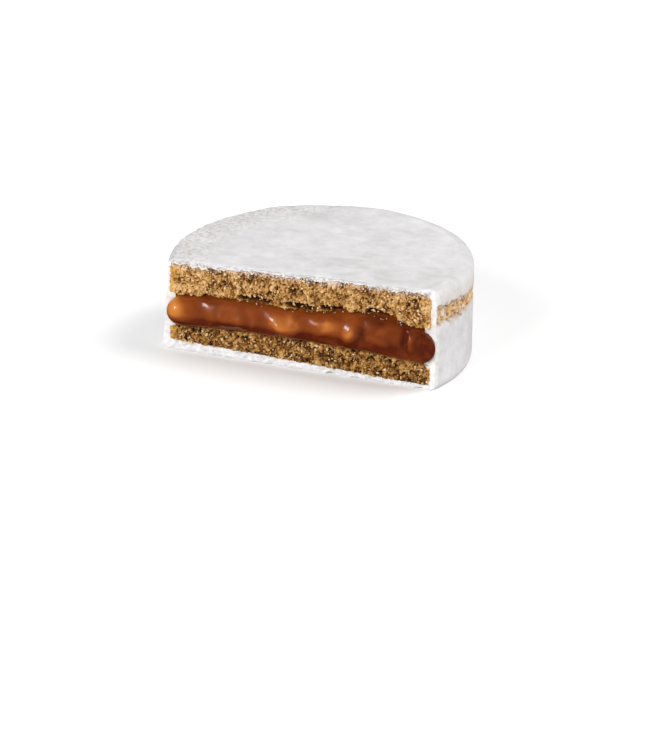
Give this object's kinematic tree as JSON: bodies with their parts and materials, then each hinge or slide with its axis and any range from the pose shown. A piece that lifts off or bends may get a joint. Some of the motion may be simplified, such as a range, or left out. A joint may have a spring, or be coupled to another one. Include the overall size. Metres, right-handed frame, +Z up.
{
  "type": "cut alfajor cookie",
  "caption": "Round sandwich cookie with one side cut away: biscuit layers around a bulging caramel filling, in a white sugar icing coat.",
  "frame": {"origin": "middle of the bottom of the whole cookie's box, on the surface it lies on", "axes": "+X along the cut from its left end to its right end, +Y into the cookie so that the cut faces -Y, +Z up"},
  "size_m": [0.0654, 0.046, 0.0218],
  "materials": {
    "icing": "dull white dried sugar icing, slightly translucent, gently bumpy",
    "biscuit": "dry golden brown crumb with open pores",
    "caramel": "smooth glossy milk caramel"
  },
  "bodies": {
    "root": {"sugar_coat": "icing", "upper_biscuit": "biscuit", "caramel_filling": "caramel", "lower_biscuit": "biscuit"}
  },
  "joints": []
}
